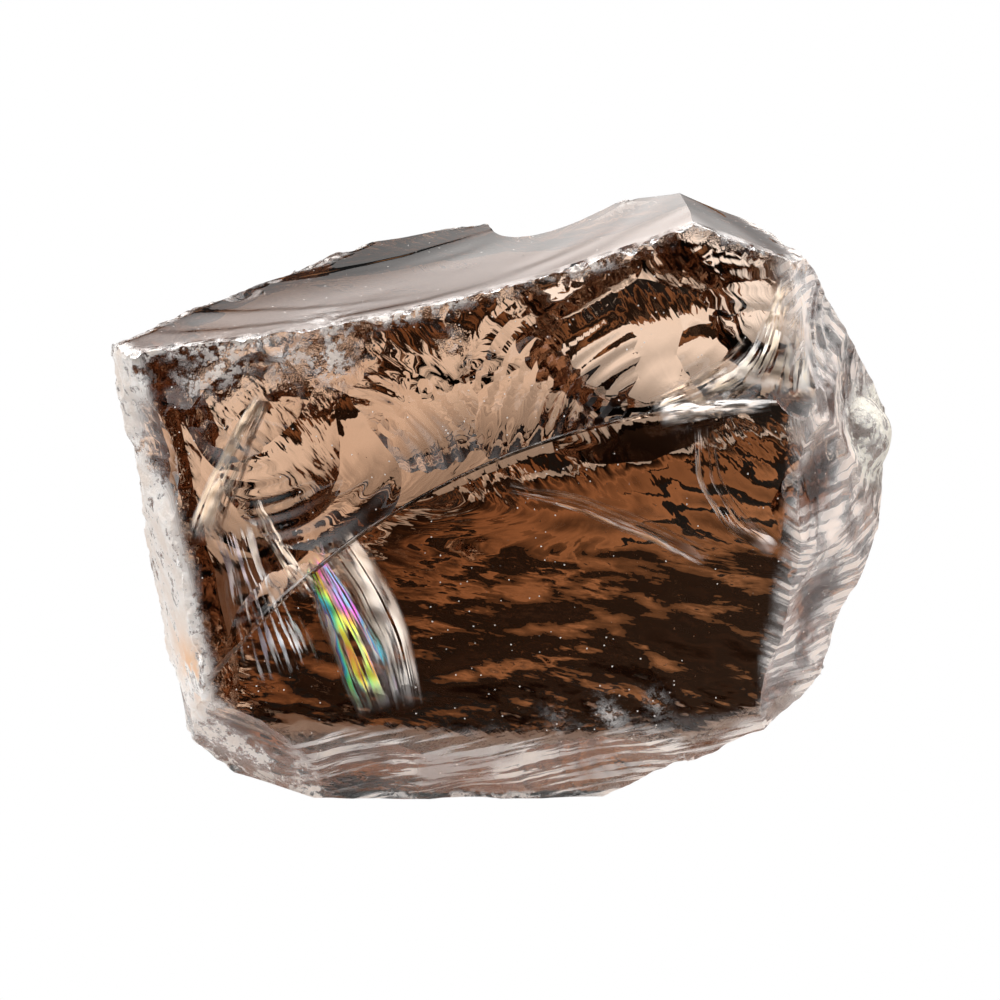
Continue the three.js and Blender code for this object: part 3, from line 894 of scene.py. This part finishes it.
def crack_material(name, colours, cover, lines, grain, seed):
    """A crack that shows as fine bright streaks along it, and is clear between them."""
    material = bpy.data.materials.new(name)
    tree = Tree(material)
    shader = tree.nodes["Principled BSDF"]
    shader.inputs["IOR"].default_value = 1.0
    shader.inputs["Roughness"].default_value = 0.3
    shader.inputs["Transmission Weight"].default_value = 1.0
    ramp, product = tree.ramp, tree.product
    along = tree.layer("along")
    across = tree.layer("across")

    def streaky(along_scale, across_scale):
        """Noise that is stretched along or across the sheet."""
        spot = tree.new("CombineXYZ")
        tree.link(product(along, along_scale), spot.inputs[0])
        tree.link(product(across, across_scale), spot.inputs[1])
        spot.inputs[2].default_value = 3.7 * seed
        return tree.noise(spot.outputs[0], 1.0, 2).outputs[0]

    bands = tree.new("ValToRGB")
    stops = bands.color_ramp.elements
    stops.remove(stops[1])
    stops[0].color = (*colours[0], 1)
    for i, colour in enumerate(colours[1:], 1):
        stops.new(i / (len(colours) - 1)).color = (*colour, 1)
    wander = product(tree.math("SUBTRACT", streaky(3, 3), 0.5), 1.6)
    tree.link(tree.math("FRACT", tree.math("ADD", across, wander)), bands.inputs[0])

    fine = ramp(streaky(grain, lines), 0.62 - 0.35 * cover, 0.68 - 0.35 * cover)
    broad = ramp(streaky(3.0, 0.3 * lines), 0.36, 0.5, 0.12)
    sides = product(ramp(across, 0, 0.12), ramp(across, 0.88, 1, 1, 0))
    ends = product(ramp(along, 0, 0.12), ramp(along, 0.8, 1, 1, 0))
    shown = product(fine, broad, sides, ends)
    tree.link(shown, shader.inputs["Metallic"])
    tree.link(tree.mix_colour(shown, (1, 1, 1), bands.outputs[0]), shader.inputs["Base Color"])
    return material


def cracks(shift):
    """The cracks inside the stone, in place."""
    for name, crack in CRACKS.items():
        seed = crack["seed"]
        sheet = ribbon(name, crack["line"], crack["width"], crack["lean"], seed)
        sheet.data.transform(Matrix.Scale(MM, 4) @ Matrix.Translation(shift))
        look = [crack[key] for key in ("colours", "cover", "lines", "grain")]
        sheet.data.materials.append(crack_material(name, *look, seed))
        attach(sheet, "root")


# ---------------------------------------------------------------- studio and camera

FLOOR = 1200.0      # side of the floor
PAPER_WHITE = 0.85  # how much light the floor gives back
NEUTRAL = (1, 0.95, 0.92)  # colour of the light card behind the stone
WARM = (1, 0.48, 0.23)     # colour of the dim strips that show through its lower part
# The low card's near edge follows the step, so that light shows above the step and dark below it.
LOW_CARD_EDGE = [
    (-140, 18, 11), (-17, 17.8, 11.8), (-8, 15.7, 18.5), (3, 13.4, 22.9), (19, 11, 27.4), (140, 11, 30),
]
LOW_CARD_FAR = 52
LOW_CARD_GLOW = (0.68, 1.7)  # on top, near edge to far
LOW_FLAG_GLOW = 0.55         # underneath, at the far edge
WARM_STRIPS = {"warm_card_low": (13, 10), "warm_card_high": (34, 6)}  # height of the middle, and depth
WARM_STRIP_AT = 100
WARM_STRIP_GLOW = (0.15, 0.42)


def glow_material(name, start, end, part=1.0, colour=(1, 1, 1)):
    """Light that grows along a panel's depth or height, over the first part of it."""
    material = bpy.data.materials.new(name)
    tree = Tree(material)
    tree.nodes.remove(tree.nodes["Principled BSDF"])
    glow = tree.new("Emission")
    glow.inputs["Color"].default_value = (*colour, 1)
    tree.link(glow.outputs[0], tree.nodes["Material Output"].inputs["Surface"])
    height = tree.axes(tree.new("TexCoord").outputs["Generated"])["Y"]
    tree.link(tree.ramp(height, 0, part, start, end), glow.inputs["Strength"])
    return material


def paper_material(albedo):
    """Matt paper that the camera itself sees as plain white."""
    material = bpy.data.materials.new("paper")
    tree = Tree(material)
    paper = tree.nodes["Principled BSDF"]
    paper.inputs["Base Color"].default_value = (albedo, albedo, albedo, 1)
    paper.inputs["Roughness"].default_value = 0.9
    bright = tree.new("Emission")
    bright.inputs["Strength"].default_value = 1.0
    blend = tree.new("MixShader")
    tree.link(tree.new("LightPath").outputs["Is Camera Ray"], blend.inputs[0])
    tree.link(paper.outputs[0], blend.inputs[1])
    tree.link(bright.outputs[0], blend.inputs[2])
    tree.link(blend.outputs[0], tree.nodes["Material Output"].inputs["Surface"])
    return material


def black_material(name):
    material = bpy.data.materials.new(name)
    black = Tree(material).nodes["Principled BSDF"]
    black.inputs["Base Color"].default_value = (0.02, 0.012, 0.008, 1)
    black.inputs["Specular IOR Level"].default_value = 0
    black.inputs["Roughness"].default_value = 1
    return material


def panel(name, centre, size, facing, material):
    """A flat square-cornered sheet of the studio."""
    bpy.ops.mesh.primitive_plane_add(size=1)
    sheet = bpy.context.object
    sheet.name = name
    sheet.scale = (size[0] * MM, size[1] * MM, 1)
    sheet.rotation_mode = "QUATERNION"
    sheet.rotation_quaternion = Vector(facing).to_track_quat("Z", "Y")
    sheet.location = Vector(centre) * MM
    sheet.data.materials.append(material)
    return sheet


def back_card():
    """A soft light panel that shows in the stone's outer reflections, and never to the camera."""
    glow = glow_material("back_card", 0.4, 4.0, 0.36, NEUTRAL)
    sheet = panel("back_card", (0, 36, 68), (280, 54), (0, -1, 0), glow)
    sheet.visible_transmission = False
    sheet.visible_camera = False
    sheet.visible_shadow = False


def flag(name, centre, size):
    """A black card on the floor, which keeps light off and which the camera doesn't see."""
    panel(name, centre, size, (0, 0, 1), black_material(name)).visible_camera = False


def low_card():
    """A bent card low behind the stone: bright on top, nearly black below. The camera doesn't see it."""
    sides = (
        ("low_card", 0.0, glow_material("low_card", *LOW_CARD_GLOW, 0.6)),
        ("low_flag", -0.4, glow_material("low_flag", 0, LOW_FLAG_GLOW, colour=WARM)),
    )
    for name, lift, material in sides:
        points = [(x, y, z + lift) for x, near, z in LOW_CARD_EDGE for y in (near, LOW_CARD_FAR)]
        faces = [(2 * i, 2 * i + 2, 2 * i + 3, 2 * i + 1) for i in range(len(LOW_CARD_EDGE) - 1)]
        sheet = mesh_object(name, points, faces, Matrix.Scale(MM, 4))
        sheet.data.materials.append(material)
        sheet.visible_camera = False


def warm_strips():
    """Dim brown strips far behind the stone, which the camera doesn't see."""
    for name, (height, depth) in WARM_STRIPS.items():
        glow = glow_material(name, *WARM_STRIP_GLOW, colour=WARM)
        strip = panel(name, (0, WARM_STRIP_AT, height), (400, depth), (0, -1, 0), glow)
        strip.visible_camera = False
        strip.visible_shadow = False


def room():
    """Soft light from the sides, from above and a little from the front; white to the camera."""
    world = bpy.data.worlds.new("room")
    bpy.context.scene.world = world
    tree = Tree(world)
    axes = tree.axes(tree.new("TexCoord").outputs["Generated"])
    sideways = tree.math("ABSOLUTE", axes["X"])
    front = tree.product(tree.ramp(axes["Y"], -0.6, -0.1, 2.3, 0), tree.ramp(axes["Z"], 0.1, 0.5))
    around = tree.math(
        "ADD", tree.ramp(sideways, 0.45, 0.9, 0.02, 1.25), tree.ramp(axes["Z"], 0.25, 0.9, 0.0, 0.9)
    )
    seen = tree.new("LightPath").outputs["Is Camera Ray"]
    unseen = tree.math("SUBTRACT", 1, seen)
    strength = tree.math("ADD", tree.product(tree.greatest(around, front), unseen), seen)
    background = tree.nodes["Background"]
    background.inputs["Color"].default_value = (1, 1, 1, 1)
    tree.link(strength, background.inputs["Strength"])


def studio():
    panel("floor", (0, 0, 0), (FLOOR, FLOOR), (0, 0, 1), paper_material(PAPER_WHITE))
    back_card()
    low_card()
    flag("back_flag", (0, 322, 1), (FLOOR, 574))
    warm_strips()
    flag("front_flag", (0, -157, 1), (300, 250))
    light = bpy.data.lights.new("overhead", "AREA")
    light.size = 0.2
    light.energy = 0.35
    lamp = bpy.data.objects.new("overhead", light)
    lamp.location = (0, 0.03, 0.3)
    bpy.context.scene.collection.objects.link(lamp)
    room()


def camera(shift):
    """The photograph's view: from the front, 20 degrees above level."""
    data = bpy.data.cameras.new("camera")
    obj = bpy.data.objects.new("camera", data)
    bpy.context.scene.collection.objects.link(obj)
    rise = math.radians(CAMERA_ELEVATION)
    back = Vector((0, -math.cos(rise), math.sin(rise)))
    obj.location = (Vector(CAMERA_TARGET) + shift + back * CAMERA_DISTANCE) * MM
    obj.rotation_mode = "QUATERNION"
    obj.rotation_quaternion = (-back).to_track_quat("-Z", "Y")
    data.sensor_width = 36
    data.lens = data.sensor_width * CAMERA_DISTANCE / FRAME_WIDTH
    data.clip_start = 0.01
    data.clip_end = 10
    bpy.context.scene.camera = obj


# ---------------------------------------------------------------- the scene

lump = break_lump()
wear(lump)

# The CAD box gives the place: the lump's middle is the box's middle, and its underside the floor.
low, high = (Vector(corner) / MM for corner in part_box(NODE))
points = coordinates(lump.data)
centre = (points.min(axis=0) + points.max(axis=0)) / 2
middle = Vector((centre[0], centre[1], 0))
shift = Vector(((low.x + high.x) / 2, (low.y + high.y) / 2, low.z)) - middle
lump.data.transform(Matrix.Scale(MM, 4) @ Matrix.Translation(shift))
lump.data.shade_smooth()
lump.data.set_sharp_from_angle(angle=math.radians(SHARP_ANGLE))
lump.name = "quartz_lump"
lump.data.materials.clear()
lump.data.materials.append(quartz_material(shift))
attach(lump, "root")
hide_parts(NODE)

cracks(shift)
studio()
camera(shift)

scene = bpy.context.scene
scene.view_settings.view_transform = "Standard"
scene.cycles.max_bounces = 16
scene.cycles.transmission_bounces = 16
